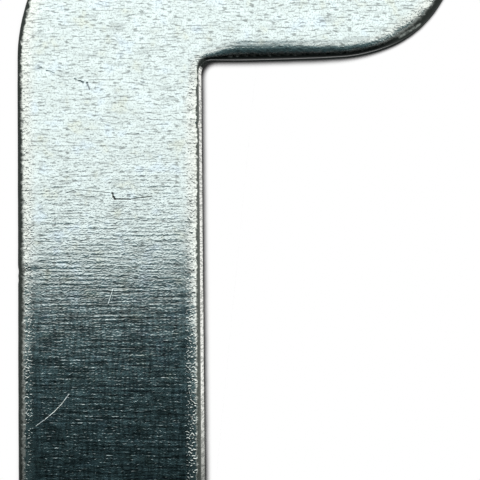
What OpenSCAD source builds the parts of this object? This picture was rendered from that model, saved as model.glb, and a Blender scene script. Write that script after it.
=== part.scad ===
// Shelf clip: one flat piece of zinc-plated steel, blanked from plate.
// In use the leg stands up behind the wall of a slotted upright and the arm comes out through the slot.
// The shelf rests on the arm's inner edge, beside the leg. The heel is rounded about the inner corner,
// so that the clip can be turned into place through the slot.
// Here it lies on its back face: +Y runs along the leg to the arm, +X runs out along the arm to the
// toe, and +Z comes out of the face that the punch rolled over at its edges.

/* [Plate] */
// Thickness of the plate
plate_t = 3; // [2.5:0.5:4]
// Width of the leg and of the arm
strip_w = 12.7; // [12:0.1:14]
// Length over the leg, from the foot to the arm's outer edge
overall_h = 50.8; // [40:0.1:70]
// Length over the arm, from the leg's outer edge to the toe
overall_w = 30.5; // [29:0.1:40]

/* [Corners] */
// Radius of the toe's inner corner, on the shelf's side
toe_r = 7.9; // [6:0.1:8.8]
// Radius of the toe's outer corner
tip_r = 2.5; // [2:0.1:3.1]
// Radius of the foot's two corners
foot_r = 3; // [2:0.1:5]
// Radius of the inner corner, between the leg and the arm
inner_r = 0.9; // [0.5:0.1:1.2]

/* [Sheared edge] */
// How far the die roll reaches in from the edge
roll_w = 1; // [0.5:0.1:1.5]
// How far the die roll drops at the edge
roll_d = 0.55; // [0.2:0.05:0.8]
// Length over which the die roll runs out on each side of the inner corner
run_out_l = 2.6; // [2.2:0.1:3]
// Height of the fracture zone, up from the back face
fracture_h = 1.3; // [0.5:0.1:1.4]
// How far the fracture zone leans in at the back face
fracture_in = 0.12; // [0.05:0.01:0.2]
// Bevel where the burr is tumbled off the back edge
burr_bevel = 0.1; // [0.05:0.01:0.2]

/* [Hidden] */
$fn = 96;

// Colour of the plating
zinc = [0.78, 0.84, 0.84];
// Where the arm's inner edge lies, up from the foot
arm_y = overall_h - strip_w;
// The heel is round about the inner corner, so its radius is the strip's width
heel_r = strip_w;
// How far the cutters run past the plate
over = 0.5;
// Straight steps in the curve of the die roll. The last one crosses the edge half way along
roll_steps = 8;
// The die roll runs out on an arc that swings away from the edge, until the roll's inner side has left
// it and a little beyond
run_out_r = (run_out_l * run_out_l - roll_w * roll_w) / (2 * roll_w);
run_out_angle = asin(run_out_l / (run_out_r + roll_w)) + 2;
// Square edge between the end of the die roll and the inner corner
square_l = 0.2;

// The outline's corners, anticlockwise: place, radius, heading on the way in, whether it turns inwards
corners = [
    [[0, 0], foot_r, 270, false],
    [[strip_w, 0], foot_r, 0, false],
    [[strip_w, arm_y], inner_r, 90, true],
    [[overall_w, arm_y], toe_r, 0, false],
    [[overall_w, overall_h], tip_r, 90, false],
    [[0, overall_h], heel_r, 180, false],
];

function place(corner) = corner[0];
function radius(corner) = corner[1];
function heading(corner) = corner[2];
function inward(corner) = corner[3];

// What is cut from the square edge, as points (out from the edge, up from the back face)

// The die roll, which drops ever more steeply from the front face to the edge
function roll_section() =
    let (last = roll_steps / (roll_steps - 0.5))
    concat(
        [for (i = [0:roll_steps]) let (u = i / (roll_steps - 0.5)) [roll_w * (u - 1), plate_t - roll_d * u ^ 3]],
        [[roll_w * (last - 1), plate_t + over], [-roll_w, plate_t + over]]
    );

// The fracture zone, which leans in towards the back face, and the bevel below it
function fracture_section() =
    let (out = fracture_in / (fracture_h - burr_bevel))
    [
        [over * out, fracture_h + over],
        [-fracture_in, burr_bevel],
        [-fracture_in - burr_bevel, 0],
        [-fracture_in - burr_bevel, -over],
        [over, -over],
        [over, fracture_h + over],
    ];

// The square corner outside a radius, in the corner's own frame: heading along +X, metal on the left
module corner_waste(r) {
    difference() {
        translate([-r, -over]) square([r + over, r + over]);
        translate([-r, r]) circle(r);
    }
}

// The metal that rounds an inward corner
module corner_fillet(r) {
    difference() {
        translate([-r, -r]) square([r + over, r + over]);
        translate([-r, -r]) circle(r);
    }
}

// The plate's outline
module outline() {
    difference() {
        union() {
            polygon([for (c = corners) place(c)]);
            for (c = corners)
                if (inward(c)) translate(place(c)) rotate(heading(c)) corner_fillet(radius(c));
        }
        for (c = corners)
            if (!inward(c)) translate(place(c)) rotate(heading(c)) corner_waste(radius(c));
    }
}

// Sweeps a section along a straight line, from the origin along +X, with the metal on the left
module straight(section, length) {
    translate([length, 0, 0])
        rotate([90, 0, -90])
            linear_extrude(length) polygon(section);
}

// Sweeps a section round an arc that leaves the origin along +X and turns left, towards the metal
module turn_left(section, r, angle) {
    translate([0, r, 0])
        rotate(-90)
            rotate_extrude(angle = angle)
                translate([r, 0]) polygon(section);
}

// The same for an arc that turns right, away from the metal
module turn_right(section, r, angle) {
    mirror([0, 1, 0]) turn_left([for (p = section) [-p[0], p[1]]], r, angle);
}

// Sweeps a section along the edge after a corner, as far as the next corner. It stops short of an
// inward corner by the gap
module along_edge(section, from, to, gap) {
    start = inward(from) ? gap : 0;
    end = inward(to) ? gap : 0;
    length = norm(place(to) - place(from)) - radius(from) - radius(to) - start - end;
    translate(place(from))
        rotate(heading(to))
            translate([radius(from) + start, 0, 0]) straight(section, length);
}

// Sweeps a section round a corner
module round_corner(section, corner) {
    translate(place(corner))
        rotate(heading(corner))
            translate([-radius(corner), 0, 0])
                if (inward(corner)) turn_right(section, radius(corner), 90);
                else turn_left(section, radius(corner), 90);
}

// The ends of the die roll on both sides of an inward corner, which swing away from the edge
module run_outs(corner) {
    short = radius(corner) + square_l + run_out_l;
    translate(place(corner))
        for (turn = [0, 1])
            rotate(heading(corner))
                mirror([turn, turn, 0])
                    translate([-short, 0, 0])
                        turn_right(roll_section(), run_out_r, run_out_angle);
}

module die_roll() {
    for (i = [0:len(corners) - 1]) {
        c = corners[i];
        along_edge(roll_section(), c, corners[(i + 1) % len(corners)], square_l + run_out_l);
        if (inward(c)) run_outs(c);
        else round_corner(roll_section(), c);
    }
}

module fracture() {
    for (i = [0:len(corners) - 1]) {
        c = corners[i];
        along_edge(fracture_section(), c, corners[(i + 1) % len(corners)], 0);
        round_corner(fracture_section(), c);
    }
}

module clip() {
    color(zinc)
        translate([-overall_w / 2, -overall_h / 2, 0])
            difference() {
                linear_extrude(plate_t) outline();
                die_roll();
                fracture();
            }
}

clip();
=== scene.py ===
import math
from collections import namedtuple

import bmesh
import bpy
from mathutils import Matrix, Vector, noise


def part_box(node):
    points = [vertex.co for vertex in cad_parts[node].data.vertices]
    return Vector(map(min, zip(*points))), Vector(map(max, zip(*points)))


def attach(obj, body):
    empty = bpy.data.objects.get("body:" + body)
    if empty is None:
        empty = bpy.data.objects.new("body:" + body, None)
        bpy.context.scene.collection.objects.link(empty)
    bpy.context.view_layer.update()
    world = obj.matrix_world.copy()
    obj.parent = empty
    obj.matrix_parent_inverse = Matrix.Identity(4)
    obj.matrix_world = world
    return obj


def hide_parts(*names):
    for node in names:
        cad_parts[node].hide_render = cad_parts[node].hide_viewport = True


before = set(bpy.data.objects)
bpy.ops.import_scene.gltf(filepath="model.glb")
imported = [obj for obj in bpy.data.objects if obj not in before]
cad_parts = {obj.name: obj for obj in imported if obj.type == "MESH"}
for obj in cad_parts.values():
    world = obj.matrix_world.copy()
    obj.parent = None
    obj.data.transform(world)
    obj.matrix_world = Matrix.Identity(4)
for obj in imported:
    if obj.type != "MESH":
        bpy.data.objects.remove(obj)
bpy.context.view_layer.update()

# Lengths are in millimetres until they become vertices, nodes or places in metres
MM = 0.001

# ---------------------------------------------------------------- the plate, in the CAD model's frame

low, high = (corner / MM for corner in map(Vector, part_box("clip")))
PLATE_T = high.z
STRIP_W = 12.7          # width of the leg and of the arm
LEG_X = low.x + STRIP_W     # the leg's inner edge
ARM_Y = high.y - STRIP_W    # the arm's inner edge
TOE_R = 7.9
TIP_R = 2.5
FOOT_R = 3.0
INNER_R = 0.9
FLARE = 0.17            # how much wider the leg is at the foot than below the arm
DRAFT = 0.16            # how much further the leg's inner wall leans out there at the back face

# The sheared edge, from the front face down
ROLL_W = 1.9            # how far the die roll reaches in
ROLL_LEAN = 0.27        # how steep its long gentle part is at the edge
ROLL_FALL = 0.70        # length over which the gentle part flattens out
ROLL_END = 0.8          # length over which it runs out into the face
ROLL_R = 0.34           # radius of its tight part, at the edge itself
FRACTURE_H = 1.05       # top of the fracture zone, above the back face
FRACTURE_IN = 0.12      # how far the fracture zone leans in
BURR_R = 0.1            # rounding of the back edge
FLAT_IN = 2.3           # the front face is one polygon inside this distance from the edge
BACK_IN = 0.3           # the back face is one inside this distance from the rounding

# How the roll's share changes round the plate
ROLL_LEFT = 0.25        # the share that is left in the inner corner
FADE_L = 3.0            # how far from the inner corner it starts to fade
ROLL_LESS_RIGHT = 0.28
ROLL_LESS_BELOW = 0.26
ROLL_MORE_TOE = 0.65
ROLL_MORE_BOW = 2.2     # per millimetre that the edge bows out
NARROW_W = 0.3          # the part of its width that is left where its share is 0

# How dull the walls are, and how much shade is painted on them by the way they face: 1 below the arm, and
# these elsewhere
DULL_AND_SHADED_LEFT = 0.47
DULL_AND_SHADED_LEFT_DOWN = 0.015  # per millimetre below the arm
DULL_AND_SHADED_RIGHT_DOWN = 0.014

# Unevenness of the edge: cells per millimetre, and size
ROLL_WAVES = [(0.55, 0.10), (1.7, 0.05)]
LAND_WAVE = (1.3, 0.12)
LAND_SHIFT = Vector((7, 3, 0))
FRACTURE_WAVE = (3.1, 0.03)
FRACTURE_LEVEL = 0.6    # how far inside the lean its mean lies, in shares of its size
FRACTURE_CALM = 4       # it fades out over one in this many parts of the zone, at its top and foot

EDGE_STEP = 0.12        # spacing of the vertices along the edge
ARC_STEPS = 10          # least number of steps in an arc
GENTLE_RINGS = 14
TIGHT_RINGS = 9
LAND_RINGS = 5
FRACTURE_RINGS = 6
BURR_RINGS = 3

# Stages of the section, kept on the vertices for the material: each stage ends at its number
FLAT, ROLL, LAND, FRACTURE, BACK = 0.0, 1.0, 2.0, 3.0, 4.0

Corner = namedtuple("Corner", "place radius heading inward")
CORNERS = [
    Corner(Vector((low.x, low.y)), FOOT_R, 270, False),
    Corner(Vector((LEG_X, low.y)), FOOT_R, 0, False),
    Corner(Vector((LEG_X, ARM_Y)), INNER_R, 90, True),
    Corner(Vector((high.x, ARM_Y)), TOE_R, 0, False),
    Corner(Vector((high.x, high.y)), TIP_R, 90, False),
    Corner(Vector((low.x, high.y)), STRIP_W, 180, False),
]

# Dents in the edge: place, reach along the edge, depth
DENTS = [
    (Vector((LEG_X, 8.1)), 0.20, 0.07),
    (Vector((low.x, -2.0)), 0.25, 0.05),
    (Vector((low.x, -2.6)), 0.20, 0.04),
]
DENT_END = 2            # a dent ends at this many times its reach
DENT_FOOT = 1.0         # height above the back face where the dents start
DENT_RISE = 1.2         # height over which they get their depth

# Where the edge below the arm bows out, or in where it is below 0: place, reach, how far
BOWS = [
    (Vector((0.0, ARM_Y)), 5.0, 0.11),
    (Vector((9.2, ARM_Y)), 2.5, -0.13),
]

# A painted glint in the toe's roll: its two ends, and half its width
GLINT = (Vector((11.29, 14.02, 2.88)), Vector((12.65, 14.86, 2.75)), 0.17)

# Scratches on the face: points along the line, half its width, its depth (below 0: pushed up)
Scratch = namedtuple("Scratch", "line width depth")
SCRATCHES = [
    # A check in the middle of the leg, with a faint line above it
    Scratch([(-8.51, 3.40), (-8.46, 3.16), (-8.34, 3.00)], 0.11, 0.014),
    Scratch([(-8.36, 3.00), (-7.29, 2.99)], 0.08, 0.010),
    Scratch([(-7.29, 2.99), (-5.76, 3.19)], 0.06, 0.007),
    Scratch([(-11.70, 3.45), (-11.05, 3.66), (-8.70, 3.44)], 0.05, 0.004),
    # A white curve towards the foot
    Scratch([(-11.59, -10.52), (-12.08, -11.18), (-12.62, -11.74), (-13.22, -12.24)], 0.04, -0.008),
    Scratch([(-13.22, -12.24), (-13.91, -12.74)], 0.035, -0.003),
    # Short marks in a row near the heel
    Scratch([(-11.13, 11.30), (-10.53, 11.04)], 0.14, 0.0080),
    Scratch([(-10.27, 11.00), (-10.10, 10.62)], 0.14, 0.0105),
    Scratch([(-14.20, 12.29), (-13.39, 12.02)], 0.14, 0.0060),
    Scratch([(-13.09, 11.89), (-12.55, 11.70)], 0.13, 0.0065),
    # A light mark half way down
    Scratch([(-8.46, -3.20), (-8.82, -4.27)], 0.06, -0.004),
]


def clamped(x):
    return max(0.0, min(1.0, x))


def smooth(x):
    x = clamped(x)
    return x * x * (3 - 2 * x)


def turned(angle):
    """The direction at that heading, in degrees anticlockwise from +X."""
    return Vector((math.cos(math.radians(angle)), math.sin(math.radians(angle))))


# ---------------------------------------------------------------- the outline and the section

Station = namedtuple("Station", "place out share polish")


def bare_outline():
    """Places round the plate, anticlockwise, each with its outward direction."""
    bare = []
    for i, corner in enumerate(CORNERS):
        nxt = CORNERS[(i + 1) % len(CORNERS)]
        ahead = turned(corner.heading)
        left = turned(corner.heading + 90)
        side = -1 if corner.inward else 1
        centre = corner.place - ahead * corner.radius + left * corner.radius * side
        steps = max(ARC_STEPS, round(corner.radius * math.pi / 2 / EDGE_STEP))
        for k in range(steps):
            out = turned(corner.heading + side * 90 * k / steps - 90)
            bare.append((centre + out * corner.radius * side, out))
        start = corner.place + turned(nxt.heading) * corner.radius
        end = nxt.place - turned(nxt.heading) * nxt.radius
        steps = round((end - start).length / EDGE_STEP)
        out = turned(nxt.heading - 90)
        bare += [(start.lerp(end, k / steps), out) for k in range(steps)]
    return bare


def bow_at(place):
    """How far the edge bows out near a place, where it faces the foot."""
    return sum(far * math.exp(-((place - middle).length / reach) ** 2) for middle, reach, far in BOWS)


def outline():
    """Stations round the plate: place, outward direction, share of the die roll, and the wall's polish with
    the light and shade painted on it by the way it faces.
    """
    inner = next(corner.place for corner in CORNERS if corner.inward)
    stations = []
    for place, out in bare_outline():
        right, left, below = max(0.0, out.x), max(0.0, -out.x), max(0.0, -out.y)
        bow = bow_at(place)
        place = place + out * bow * below
        share = ROLL_LEFT + (1 - ROLL_LEFT) * smooth((place - inner).length / FADE_L)
        share *= 1 - ROLL_LESS_RIGHT * right ** 4 - ROLL_LESS_BELOW * below ** 4
        share *= (1 + ROLL_MORE_TOE * right * below) * (1 + ROLL_MORE_BOW * bow * below)
        down = max(0.0, ARM_Y - place.y)
        # Dullness, and the shade painted by the way the wall faces: full below the arm, part on the left,
        # more towards the foot
        dull_and_shaded = left * (DULL_AND_SHADED_LEFT + DULL_AND_SHADED_LEFT_DOWN * down) + below + right * DULL_AND_SHADED_RIGHT_DOWN * down
        stations.append(Station(place, out, share, clamped(1 - dull_and_shaded)))
    return stations


def roll_drop(inset):
    """How far the roll has dropped at that distance from the edge."""
    def gentle(x):
        return ROLL_LEAN * ROLL_FALL * math.exp(-x / ROLL_FALL)
    fade = smooth((ROLL_W - inset) / ROLL_END)
    tight = max(0.0, ROLL_R - inset)
    return (gentle(inset) - gentle(ROLL_W)) * fade + ROLL_R - math.sqrt(ROLL_R ** 2 - tight ** 2)


ROLL_D = roll_drop(0.0)


def section():
    """Points down the edge: how far in, how far up and the stage. The roll is for a share of 1."""
    points = [(FLAT_IN, PLATE_T, FLAT)]
    insets = [ROLL_W + (ROLL_R - ROLL_W) * k / GENTLE_RINGS for k in range(GENTLE_RINGS)]
    insets += [ROLL_R * (1 - math.sin(math.pi / 2 * k / TIGHT_RINGS)) for k in range(TIGHT_RINGS + 1)]
    points += [(inset, PLATE_T - roll_drop(inset), ROLL * (1 - inset / ROLL_W)) for inset in insets]
    land_top = PLATE_T - ROLL_D
    for k in range(1, LAND_RINGS + 1):
        u = k / LAND_RINGS
        points.append((0.0, land_top + (FRACTURE_H - land_top) * u, ROLL + u))
    for k in range(1, FRACTURE_RINGS + 1):
        u = k / FRACTURE_RINGS
        points.append((FRACTURE_IN * u, FRACTURE_H + (BURR_R - FRACTURE_H) * u, LAND + u))
    for k in range(1, BURR_RINGS + 1):
        angle = math.pi / 2 * k / BURR_RINGS
        inset = FRACTURE_IN + BURR_R * (1 - math.cos(angle))
        points.append((inset, BURR_R * (1 - math.sin(angle)), FRACTURE))
    points.append((FRACTURE_IN + BURR_R + BACK_IN, 0.0, BACK))
    return points


def wave_at(place, cells, size):
    return noise.noise(place * cells) * size


def dent_at(place, height):
    """How far a dent pushes the edge in at a place on it."""
    total = 0.0
    for middle, reach, depth in DENTS:
        along = (place - middle).length / reach
        if along < DENT_END:
            total += depth * math.exp(-along * along) * smooth((height - DENT_FOOT) / DENT_RISE)
    return total


def section_vertex(station, point):
    """The vertex where a section point meets a station, with the unevenness of a real sheared edge."""
    inset, height, stage = point
    place, out, share, _ = station
    at = Vector((place.x, place.y, 0))
    rolled = share * (1 + sum(wave_at(at, *wave) for wave in ROLL_WAVES))
    if stage <= ROLL:
        if inset < FLAT_IN:
            inset *= min(1.0, NARROW_W + (1 - NARROW_W) * rolled)
        height = PLATE_T - (PLATE_T - height) * rolled
    elif stage <= LAND:
        top = PLATE_T - ROLL_D * rolled
        cells, size = LAND_WAVE
        foot = FRACTURE_H + size * noise.noise(at * cells + LAND_SHIFT)
        height = top + (foot - top) * (stage - ROLL)
    elif stage <= FRACTURE and height > 0:
        cells, size = FRACTURE_WAVE
        rough = noise.noise(Vector((place.x, place.y, height)) * cells) + FRACTURE_LEVEL
        calm = smooth((FRACTURE - stage) * FRACTURE_CALM) * smooth((stage - LAND) * FRACTURE_CALM)
        inset += size * rough * calm
    inset += dent_at(place, height)
    where = place - out * inset
    down = max(0.0, (ARM_Y - where.y) / (ARM_Y - low.y))
    across = smooth((where.x - low.x) / STRIP_W)
    flare = FLARE + DRAFT * (1 - height / PLATE_T)
    return Vector((where.x + flare * down * across, where.y, height))


def make_clip(material):
    """The whole plate as one closed mesh."""
    stations = outline()
    mesh = bmesh.new()
    stage_layer = mesh.verts.layers.float.new("stage")
    polish_and_light_layer = mesh.verts.layers.float.new("polish")
    rings = []
    for point in section():
        _, _, stage = point
        ring = []
        for station in stations:
            vert = mesh.verts.new(section_vertex(station, point) * MM)
            vert[stage_layer] = stage
            vert[polish_and_light_layer] = station.polish
            ring.append(vert)
        rings.append(ring)
    count = len(stations)
    for upper, lower in zip(rings, rings[1:]):
        for k in range(count):
            nxt = (k + 1) % count
            mesh.faces.new((upper[k], lower[k], lower[nxt], upper[nxt]))
    mesh.faces.new(rings[0])
    mesh.faces.new(reversed(rings[-1]))
    for face in mesh.faces:
        face.smooth = True
    data = bpy.data.meshes.new("clip_plate")
    mesh.to_mesh(data)
    mesh.free()
    data.materials.append(material)
    piece = bpy.data.objects.new("clip_plate", data)
    bpy.context.collection.objects.link(piece)
    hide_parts("clip")
    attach(piece, "root")
    return piece


# ---------------------------------------------------------------- node helpers

def rgb(red, green, blue):
    return (red, green, blue, 1.0)


class Tree:
    """A node tree that is built by calls, most of which give the new node's output."""

    def __init__(self, owner):
        owner.use_nodes = True
        self.nodes = owner.node_tree.nodes
        self.links = owner.node_tree.links
        self.nodes.clear()

    def node(self, kind, settings=None, **inputs):
        """The new node itself. An underscore stands for a space in an input's name."""
        node = self.nodes.new(kind)
        for key, value in (settings or {}).items():
            setattr(node, key, value)
        for key, value in inputs.items():
            self.feed(node.inputs[key.replace("_", " ")], value)
        return node

    def feed(self, socket, value):
        if isinstance(value, bpy.types.NodeSocket):
            self.links.new(value, socket)
        else:
            socket.default_value = value

    def math(self, operation, *values, clamp=False):
        node = self.node("ShaderNodeMath", {"operation": operation, "use_clamp": clamp})
        for socket, value in zip(node.inputs, values):
            self.feed(socket, value)
        return node.outputs[0]

    def add(self, first, second):
        return self.math("ADD", first, second)

    def less(self, first, second):
        return self.math("SUBTRACT", first, second)

    def times(self, first, second):
        return self.math("MULTIPLY", first, second)

    def times_add(self, first, second, more, clamp=False):
        return self.math("MULTIPLY_ADD", first, second, more, clamp=clamp)

    def greater(self, first, second):
        return self.math("MAXIMUM", first, second)

    def vector(self, operation, *values):
        node = self.node("ShaderNodeVectorMath", {"operation": operation})
        for socket, value in zip(node.inputs, values):
            self.feed(socket, value)
        return node.outputs["Value" if operation in ("DOT_PRODUCT", "DISTANCE") else "Vector"]

    def scaled(self, vector, factor):
        node = self.node("ShaderNodeVectorMath", {"operation": "SCALE"}, Scale=factor)
        self.feed(node.inputs[0], vector)
        return node.outputs[0]

    def axes(self, vector):
        return self.node("ShaderNodeSeparateXYZ", Vector=vector).outputs

    def attribute(self, name):
        return self.node("ShaderNodeAttribute", {"attribute_name": name}).outputs["Fac"]

    def noise(self, vector, scale, detail, rough=0.5):
        node = self.node("ShaderNodeTexNoise", Vector=vector, Scale=scale, Detail=detail, Roughness=rough)
        return node.outputs["Fac"]

    def ramp(self, value, first, last, to_first=0.0, to_last=1.0, shape="SMOOTHSTEP"):
        node = self.node("ShaderNodeMapRange", {"interpolation_type": shape}, Value=value)
        numbers = {"From Min": first, "From Max": last, "To Min": to_first, "To Max": to_last}
        for name, number in numbers.items():
            self.feed(node.inputs[name], number)
        return node.outputs["Result"]

    def stops(self, value, stops):
        """Colours at places from 0 to 1, with straight lines between them."""
        node = self.node("ShaderNodeValToRGB", Fac=value)
        node.color_ramp.interpolation = "LINEAR"
        elements = node.color_ramp.elements
        while len(elements) < len(stops):
            elements.new(1.0)
        for element, (place, colour) in zip(elements, stops):
            element.position = place
            element.color = rgb(*colour)
        return node.outputs["Color"]

    def grey(self, level):
        return self.node("ShaderNodeCombineColor", Red=level, Green=level, Blue=level).outputs[0]

    def mix(self, factor, first, second, blend="MIX"):
        node = self.node("ShaderNodeMix", {"data_type": "RGBA", "blend_type": blend})
        for name, value in (("Factor", factor), ("A", first), ("B", second)):
            self.feed(node.inputs[name], value)
        return node.outputs["Result"]


# ---------------------------------------------------------------- the plating

# Noise, in cells per millimetre along X, Y and Z. The face: straight streaks along X, dashes, speckles
LINES = (0.08, 5.2, 1.0)
STREAKS = (0.55, 6.2, 1.0)
DASHES = (2.1, 9.0, 1.0)
SPECKLES = (8.0, 8.5, 1.0)
PITS = (5.5, 8.5, 1.0)
UPRIGHT = (5.0, 0.9, 1.0)
BROAD = (0.5, 4.5, 1.0)
# The edge: its zones' borders and the drawn lines of the sheared band
BORDER = (3.5, 3.5, 1.0)
DRAWN = (8.5, 8.5, 0.8)
# Even noise, as scale, detail and roughness
SWELL = (0.9, 1.0)
POINTS = (7.0, 0.0)
PEEL = (5.0, 1.0)
ROUGH = (9.0, 3.0, 0.65)
HUE = (0.7, 2.0, 0.6)
PATCHES = (0.7, 2.0)

# Heights of the relief, in millimetres
LINES_H = 0.0025
STREAKS_H = 0.0025
DASHES_H = 0.0016
PITS_H = 0.0012
SWELL_H = 0.004
POINTS_H = 0.008
PEEL_H = 0.005
ROUGH_H = 0.15
DRAWN_H = 0.02

# Ramps: the two ends, then what the ramp gives at them where that isn't 0 and 1. Zones by the stage
ROLLED_BY_STAGE = (0.22, 0.62)
CALM_BY_STAGE = (0.02, 0.35, 1.0, 0.2)
LAND_FROM_STAGE = (1.0, 1.08)
LAND_TO_STAGE = (2.05, 1.95)
STEEP_TO_STAGE = (1.08, 1.0)
BROKEN_FROM_STAGE = (1.95, 2.05)
BORDER_WAVE = 0.22      # how far the borders waver
# The steep zone carries painted shade; a dull wall is also a shaded one, so there the shade starts earlier
# and spreads wider
STEEP_FROM = 0.91       # stage where the steep zone starts on a polished wall
STEEP_EARLIER = -0.34   # what is added for a dull wall
STEEP_EARLIEST = 0.66
STEEP_SHARP = 0.03      # how far its border is spread on a polished wall
STEEP_SOFTER = 0.20     # what is added for a dull wall

# The relief and the tone by Y: calmer half way down the leg, more worn and darker towards the foot
CALM_BY_Y = (-2.0, -5.5, 1.0, 0.8)
WORN_BY_Y = (-7.0, -15.0, 1.0, 1.5)
SPARKLE_BY_Y = (8.0, 0.0, 0.6, 1.0)
SPARKLE_BY_POLISH = (0.0, 0.35, 0.12, 0.9)
FAINT_BY_Y = (1.0, -6.0, 1.0, 0.50)
PITS_BY_NOISE = (0.46, 0.72)
POINTS_BY_NOISE = (0.56, 0.74)
DASHES_TONE = (0.30, 0.41, 0.52, 1.0)
SPECKLES_TONE = (0.30, 0.52, 0.74, 1.0)
STREAKS_TONE = (0.30, 0.42, 0.80, 1.0)
PATCHES_TONE = (0.40, 0.58, 0.92, 1.0)
UPRIGHT_BY_NOISE = (0.34, 0.62)
UPRIGHT_SHARE = 0.8     # how dark they are beside the broad streaks
BROAD_BY_NOISE = (0.36, 0.60)
KEPT_BY_SCRATCH = (0.0, 0.001)
BLUE_BY_HUE = (0.54, 0.72)
GREEN_BY_HUE = (0.44, 0.27)
SHADE_BY_SCRATCH = (0.003, 0.013, 0.0, 0.85)

# The edge by the wall's polish, and by the light and shade painted on it by the way it faces
STEEP_SHADE_BY_LIGHT = (0.02, 0.17)
STEEP_LIGHT_SHADE_BY_LIGHT = (0.54, 0.66)
MATT_MID_BY_POLISH = (0.02, 0.17, 0.0, 0.9)
MATT_BRIGHT_BY_POLISH = (0.5, 0.65, 1.0, 0.56)
BRIGHT_BY_LIGHT = (0.53, 0.70)
BRIGHT_BY_DRAWN = (0.42, 0.54, 0.50, 1.0)
RIDGE_BY_STAGE = (1.05, 1.28, 0.35, 0.0)
RIDGE_BY_POLISH = (0.02, 0.11, 1.0, 0.0)
SHEARED_SHADE_BY_LIGHT = (0.08, 0.25)
TORN_BY_LIGHT = (0.25, 0.80)
GLINT_BY_PEEL = (0.35, 0.55, 0.3, 1.0)

ZINC = rgb(0.91, 0.98, 0.965)
ZINC_BLUE = rgb(0.86, 0.95, 1.0)
ZINC_GREEN = rgb(0.94, 0.98, 0.90)
ZINC_ROLL = rgb(0.97, 0.99, 0.95)
# Painted shade in the scratches' grooves
SCRATCH_SHADE = rgb(0.03, 0.035, 0.035)
# The steep part of the roll: painted shade, deepest below the arm and lightest on the right
STEEP_PAINTED_DEEP_SHADE = rgb(0.014, 0.017, 0.016)
STEEP_PAINTED_SHADE = rgb(0.056, 0.064, 0.059)
STEEP_PAINTED_LIGHT_SHADE = rgb(0.15, 0.165, 0.15)
# The sheared band: painted shade where the wall faces away from the light, bare bright metal where it faces
# it
SHEARED_PAINTED_DEEP_SHADE = rgb(0.055, 0.062, 0.060)
SHEARED_PAINTED_SHADE = rgb(0.085, 0.092, 0.087)
SHEARED_BRIGHT = rgb(0.98, 0.99, 0.90)
# The fracture zone: its own dark grey, with painted shade where the wall faces away from the light and
# painted light where it faces it
TORN_SHADED = rgb(0.06, 0.066, 0.064)
TORN_LIT = rgb(0.19, 0.205, 0.195)
# A painted glint
PAINTED_GLINT = rgb(0.55, 0.58, 0.55)

MATT_BROKEN = 0.85      # how far the fracture zone is no bare metal
MATT_GLINT = 0.9
SHEEN = 0.08            # roughness of the plating
COARSE_STEEP = 0.22     # what is added to it
COARSE_BROKEN = 0.6


def line_mask(t, mm, start, end, width):
    """1 on the line between two places, 0 beyond its width."""
    along = end - start
    away = t.vector("SUBTRACT", mm, tuple(start))
    dot = t.vector("DOT_PRODUCT", away, tuple(along))
    share = t.math("DIVIDE", dot, along.length_squared, clamp=True)
    nearest = t.scaled(tuple(along), share)
    return t.ramp(t.vector("DISTANCE", away, nearest), 0.0, width, 1.0, 0.0)


def scratch_depth(t, mm):
    """Depth of the scratches, in millimetres, below 0 where metal is pushed up."""
    total = None
    for scratch in SCRATCHES:
        for start, end in zip(scratch.line, scratch.line[1:]):
            start, end = Vector((*start, PLATE_T)), Vector((*end, PLATE_T))
            depth = t.times(line_mask(t, mm, start, end, scratch.width), scratch.depth)
            total = depth if total is None else t.add(total, depth)
    return total


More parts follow.
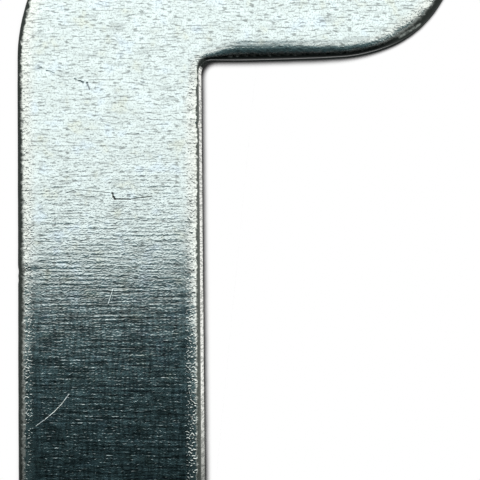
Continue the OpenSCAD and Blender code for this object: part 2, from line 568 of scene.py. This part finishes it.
class Plating:
    """The plate's material: bright zinc over a rolled face, a polished roll and a sheared edge."""

    def __init__(self, material):
        t = self.t = Tree(material)
        self.mm = t.scaled(t.node("ShaderNodeTexCoord").outputs["Object"], 1 / MM)
        self.y = t.axes(self.mm)["Y"]
        self.stage = t.attribute("stage")
        self.polish = t.attribute("polish")
        self.streaks = self.stretched(STREAKS)
        self.dashes = self.stretched(DASHES)
        self.peel = t.noise(self.mm, *PEEL)
        self.drawn = self.stretched(DRAWN)
        self.scratched = scratch_depth(t, self.mm)
        self.find_zones()

    def stretched(self, cells, detail=0.0):
        return self.t.noise(self.t.vector("MULTIPLY", self.mm, cells), 1.0, detail)

    def find_zones(self):
        """Masks of the roll, its steep part with an uneven border, the sheared band and the fracture."""
        t, stage = self.t, self.stage
        waver = t.times(t.less(self.stretched(BORDER, 1.0), 0.5), BORDER_WAVE)
        dull_and_shaded = t.less(1.0, self.polish)
        start = t.greater(t.times_add(dull_and_shaded, STEEP_EARLIER, STEEP_FROM), STEEP_EARLIEST)
        end = t.times_add(dull_and_shaded, STEEP_SOFTER, t.add(start, STEEP_SHARP))
        self.rolled = t.ramp(stage, *ROLLED_BY_STAGE)
        self.steep = t.times(t.ramp(t.add(stage, waver), start, end), t.ramp(stage, *STEEP_TO_STAGE))
        self.land = t.times(t.ramp(stage, *LAND_FROM_STAGE), t.ramp(stage, *LAND_TO_STAGE))
        self.broken = t.ramp(stage, *BROKEN_FROM_STAGE)

    def relief(self):
        """The normal: the rolled sheet's grain, the roll's orange peel, the edge's lines, the scratches."""
        t = self.t
        flat = t.times(self.stretched(LINES), LINES_H)
        flat = t.times_add(self.streaks, STREAKS_H, flat)
        flat = t.times_add(self.dashes, DASHES_H, flat)
        flat = t.times_add(t.ramp(self.stretched(PITS), *PITS_BY_NOISE), PITS_H, flat)
        worn = t.times(t.ramp(self.y, *CALM_BY_Y), t.ramp(self.y, *WORN_BY_Y))
        flat = t.times(flat, t.times(t.ramp(self.stage, *CALM_BY_STAGE), worn))
        height = t.times_add(t.noise(self.mm, *SWELL), SWELL_H, flat)
        points = t.ramp(t.noise(self.mm, *POINTS), *POINTS_BY_NOISE)
        edge = t.times_add(points, POINTS_H, t.times(self.peel, PEEL_H))
        edge = t.times(edge, t.ramp(self.polish, *SPARKLE_BY_POLISH))
        edge = t.times(edge, t.ramp(self.y, *SPARKLE_BY_Y))
        height = t.times_add(edge, self.rolled, height)
        height = t.times_add(t.times(t.noise(self.mm, *ROUGH), self.broken), ROUGH_H, height)
        height = t.times_add(t.times(self.drawn, self.land), DRAWN_H, height)
        height = t.less(height, self.scratched)
        return t.node("ShaderNodeBump", Strength=1.0, Distance=MM, Height=height).outputs["Normal"]

    def face_colour(self):
        """Zinc with faint patches of blue and of yellow-green, dark dashes, and painted shade in the
        scratches.
        """
        t = self.t
        hue = t.noise(self.mm, *HUE)
        tint = t.mix(t.ramp(hue, *BLUE_BY_HUE), ZINC, ZINC_BLUE)
        tint = t.mix(t.ramp(hue, *GREEN_BY_HUE), tint, ZINC_GREEN)
        tint = t.mix(self.rolled, tint, ZINC_ROLL)
        speckles = t.ramp(self.stretched(SPECKLES), *SPECKLES_TONE)
        tone = t.times(t.ramp(self.dashes, *DASHES_TONE), speckles)
        tone = t.times(tone, t.ramp(self.streaks, *STREAKS_TONE))
        tone = t.times(tone, t.ramp(t.noise(self.mm, *PATCHES), *PATCHES_TONE))
        # Towards the foot broad streaks show darker, crossed by faint upright lines
        kept = t.greater(self.rolled, t.ramp(t.math("ABSOLUTE", self.scratched), *KEPT_BY_SCRATCH))
        faint = t.greater(t.ramp(self.y, *FAINT_BY_Y), kept)
        upright = t.times_add(faint, UPRIGHT_SHARE, 1 - UPRIGHT_SHARE)
        tone = t.times(tone, t.ramp(self.stretched(UPRIGHT), *UPRIGHT_BY_NOISE, upright))
        tone = t.times(tone, t.ramp(self.stretched(BROAD), *BROAD_BY_NOISE, faint))
        base = t.mix(1.0, tint, t.grey(tone), "MULTIPLY")
        # Painted shade in the scratches' grooves
        return t.mix(t.ramp(self.scratched, *SHADE_BY_SCRATCH), base, SCRATCH_SHADE)

    def gleam(self):
        """Where the wall is bright metal: drawn lines on the right, which faces the light, and elsewhere a
        thin line at its top.
        """
        t = self.t
        bright = t.times(t.ramp(self.drawn, *BRIGHT_BY_DRAWN), t.ramp(self.polish, *BRIGHT_BY_LIGHT))
        ridge = t.times(t.ramp(self.stage, *RIDGE_BY_STAGE), t.ramp(self.polish, *RIDGE_BY_POLISH))
        return bright, t.greater(bright, ridge)

    def edge_colour(self, base, bright, glint):
        """The face's colour with the colours of the edge's zones laid over it: painted shade and bright
        metal by the way each wall faces, and a painted glint.
        """
        t, polish = self.t, self.polish
        # The steep part of the roll: painted shade, deepest below the arm and lightest on the right
        steep = t.mix(t.ramp(polish, *STEEP_SHADE_BY_LIGHT), STEEP_PAINTED_DEEP_SHADE, STEEP_PAINTED_SHADE)
        steep = t.mix(t.ramp(polish, *STEEP_LIGHT_SHADE_BY_LIGHT), steep, STEEP_PAINTED_LIGHT_SHADE)
        # The sheared band: painted shade, with bright bare metal in drawn lines on the right, which faces
        # the light
        sheared = t.mix(t.ramp(polish, *SHEARED_SHADE_BY_LIGHT), SHEARED_PAINTED_DEEP_SHADE, SHEARED_PAINTED_SHADE)
        sheared = t.mix(bright, sheared, SHEARED_BRIGHT)
        # The fracture zone: its own dark grey, with painted light and shade by the way the wall faces
        torn = t.mix(t.ramp(polish, *TORN_BY_LIGHT), TORN_SHADED, TORN_LIT)
        base = t.mix(self.steep, base, steep)
        base = t.mix(self.land, base, sheared)
        base = t.mix(self.broken, base, torn)
        # A painted glint in the toe's roll
        return t.mix(glint, base, PAINTED_GLINT)

    def matt(self, gleam, glint):
        """Where the surface is no bare metal. At a grazing angle only that keeps the dull, shaded walls
        dark.
        """
        t = self.t
        matt = t.times(self.land, t.less(1.0, gleam))
        matt = t.times_add(self.broken, MATT_BROKEN, matt)
        mid, bright = t.ramp(self.polish, *MATT_MID_BY_POLISH), t.ramp(self.polish, *MATT_BRIGHT_BY_POLISH)
        matt = t.times_add(self.steep, t.times(mid, bright), matt, clamp=True)
        return t.greater(matt, t.times(glint, MATT_GLINT))

    def finish(self):
        t = self.t
        bright, gleam = self.gleam()
        # Where the painted glint lies, broken up by the peel
        glint = t.times(line_mask(t, self.mm, *GLINT), t.ramp(self.peel, *GLINT_BY_PEEL))
        coarse = t.greater(t.times(self.steep, COARSE_STEEP), t.times(self.broken, COARSE_BROKEN))
        shader = t.node(
            "ShaderNodeBsdfPrincipled",
            Base_Color=self.edge_colour(self.face_colour(), bright, glint),
            Metallic=t.less(1.0, self.matt(gleam, glint)),
            Roughness=t.add(coarse, SHEEN),
            Specular_IOR_Level=0.0,
            Normal=self.relief(),
        )
        t.node("ShaderNodeOutputMaterial", Surface=shader.outputs["BSDF"])


def zinc_plate():
    material = bpy.data.materials.new("zinc_plate")
    Plating(material).finish()
    return material


# ---------------------------------------------------------------- the studio

FLOOR_R = 3.0           # in metres
PAINT = rgb(0.9, 0.9, 0.9)
WHITE = rgb(1.0, 1.0, 1.0)
SHADOW = rgb(0.02, 0.02, 0.02)
# The shadow's width by X, in metres: narrower towards the toe, wider beyond the leg's outer edge
SHADOW_W = (5 * MM, 12 * MM, 0.57 * MM, 0.30 * MM)
SHADOW_LEFT_W = (-14 * MM, -15 * MM, 0.0, 0.42 * MM)
SHADOW_DEPTH = (0.46, 0.98)
SHADOW_SAMPLES = 16
SHADOW_LIFT = 0.85      # the shadow's least level in reflections, so that the wall stays bright


def make_floor():
    """A floor, plain white to the camera and in reflections but for the thin shadow round the plate."""
    material = bpy.data.materials.new("white_floor")
    t = Tree(material)
    x = t.axes(t.node("ShaderNodeNewGeometry").outputs["Position"])["X"]
    reach = t.add(t.ramp(x, *SHADOW_W), t.ramp(x, *SHADOW_LEFT_W))
    open_sky = t.node("ShaderNodeAmbientOcclusion", {"samples": SHADOW_SAMPLES}, Distance=reach)
    path = t.node("ShaderNodeLightPath").outputs
    shade = t.ramp(open_sky.outputs["AO"], *SHADOW_DEPTH)
    shade = t.greater(shade, t.times(path["Is Glossy Ray"], SHADOW_LIFT))
    white = t.node("ShaderNodeEmission", Color=t.mix(shade, SHADOW, WHITE), Strength=1.0)
    paint = t.node("ShaderNodeBsdfDiffuse", Color=PAINT)
    seen = t.greater(path["Is Camera Ray"], path["Is Glossy Ray"])
    seen = t.greater(seen, path["Is Transmission Ray"])
    surface = t.node("ShaderNodeMixShader", Fac=seen)
    t.links.new(paint.outputs[0], surface.inputs[1])
    t.links.new(white.outputs[0], surface.inputs[2])
    t.node("ShaderNodeOutputMaterial", Surface=surface.outputs[0])
    bpy.ops.mesh.primitive_circle_add(vertices=64, radius=FLOOR_R, fill_type="NGON")
    floor = bpy.context.object
    floor.name = "floor"
    floor.data.materials.append(material)


# The sky's level, from the foot's side (-Y) to the arm's side (+Y), by the Y part of the direction
SKY = [
    (-0.40, 0.0022), (-0.20, 0.0060), (-0.175, 0.033), (-0.150, 0.045), (-0.120, 0.044),
    (-0.102, 0.053), (-0.079, 0.094), (-0.060, 0.116), (-0.0456, 0.145), (-0.034, 0.28),
    (-0.023, 0.62), (-0.0118, 0.93), (0.0, 1.02), (0.022, 1.04), (0.067, 1.05),
    (0.112, 1.09), (0.2, 1.15),
]
SKY_ENDS = (-0.40, 0.23)    # where the colour ramp starts and ends
SKY_DARK_TINT = Vector((0.54, 1.0, 1.12))
SKY_LIGHT_TINT = Vector((0.94, 1.0, 0.995))
SKY_LIGHT_FROM = 1.5    # the light tint is full at a level of one over this
# The edge of the light runs a little askew near the zenith
SKEW = -0.10
SKEW_ENDS = (-0.19, -0.10)
SKEW_MID = 0.0155       # what the skew adds in the middle of the leg
# It comes forward on both sides
RIGHT_BY_X = (-0.04, 0.35)
RIGHT_FORWARD = 0.078
LEFT_BY_X = (-0.25, -0.9)
LEFT_FORWARD = 0.03
# The sky is warmer towards both sides, grey far down on the foot's side, and dimmer low down
WARM = rgb(1.03, 1.0, 0.97)
WARM_MIDDLE = -0.12
WARM_BY_X = (0.10, 0.45)
GREY = rgb(0.30, 0.34, 0.34)
GREY_BY_Y = (-0.50, -0.80)
STRENGTH_BY_Z = (0.0, 0.35, 0.5, 1.0)


def sky_stops():
    """The sky's colours for the colour ramp, by place from 0 to 1."""
    first, last = SKY_ENDS
    stops = []
    for edge, level in SKY:
        tint = SKY_DARK_TINT.lerp(SKY_LIGHT_TINT, smooth(level * SKY_LIGHT_FROM))
        stops.append(((edge + SKEW_MID - first) / (last - first), tuple(tint * level)))
    return stops


def light_studio():
    """Soft light from the arm's side (+Y), dark overhead and on the foot's side (-Y)."""
    world = bpy.data.worlds.new("studio")
    bpy.context.scene.world = world
    t = Tree(world)
    axes = t.axes(t.node("ShaderNodeTexCoord").outputs["Generated"])
    x, y, z = axes["X"], axes["Y"], axes["Z"]
    skew_from, skew_to = SKEW_ENDS
    skew = t.times(t.math("MINIMUM", t.greater(x, skew_from), skew_to), SKEW)
    right = t.times(t.ramp(x, *RIGHT_BY_X), RIGHT_FORWARD)
    left = t.times(t.ramp(x, *LEFT_BY_X), LEFT_FORWARD)
    along = t.add(t.add(y, skew), t.add(right, left))
    colour = t.stops(t.ramp(along, *SKY_ENDS, shape="LINEAR"), sky_stops())
    warm = t.ramp(t.math("ABSOLUTE", t.less(x, WARM_MIDDLE)), *WARM_BY_X)
    colour = t.mix(warm, colour, t.mix(1.0, colour, WARM, "MULTIPLY"))
    colour = t.mix(t.ramp(y, *GREY_BY_Y), colour, GREY)
    background = t.node("ShaderNodeBackground", Color=colour, Strength=t.ramp(z, *STRENGTH_BY_Z))
    t.node("ShaderNodeOutputWorld", Surface=background.outputs[0])


CAMERA_PLACE = Vector((11.03, 1.47, 126.2))
CAMERA_TARGET = Vector((0.33, 0.19, 3.0))
CAMERA_ROLL = -0.08     # in degrees
LENS = 135.0
SENSOR_W = 36.0


def make_camera():
    """Nearly square above the plate, a little towards the toe and the foot."""
    data = bpy.data.cameras.new("camera")
    data.lens = LENS
    data.sensor_width = SENSOR_W
    data.clip_start = 1 * MM
    camera = bpy.data.objects.new("camera", data)
    bpy.context.collection.objects.link(camera)
    roll = math.radians(CAMERA_ROLL)
    back = (CAMERA_PLACE - CAMERA_TARGET).normalized()
    right = Vector((0, 1, 0)).cross(back).normalized()
    up = back.cross(right)
    across = right * math.cos(roll) + up * math.sin(roll)
    upward = up * math.cos(roll) - right * math.sin(roll)
    turn = Matrix((across, upward, back)).transposed()
    camera.matrix_world = Matrix.Translation(CAMERA_PLACE * MM) @ turn.to_4x4()
    bpy.context.scene.camera = camera


bpy.context.scene.view_settings.view_transform = "Standard"
make_camera()
light_studio()
make_floor()
make_clip(zinc_plate())
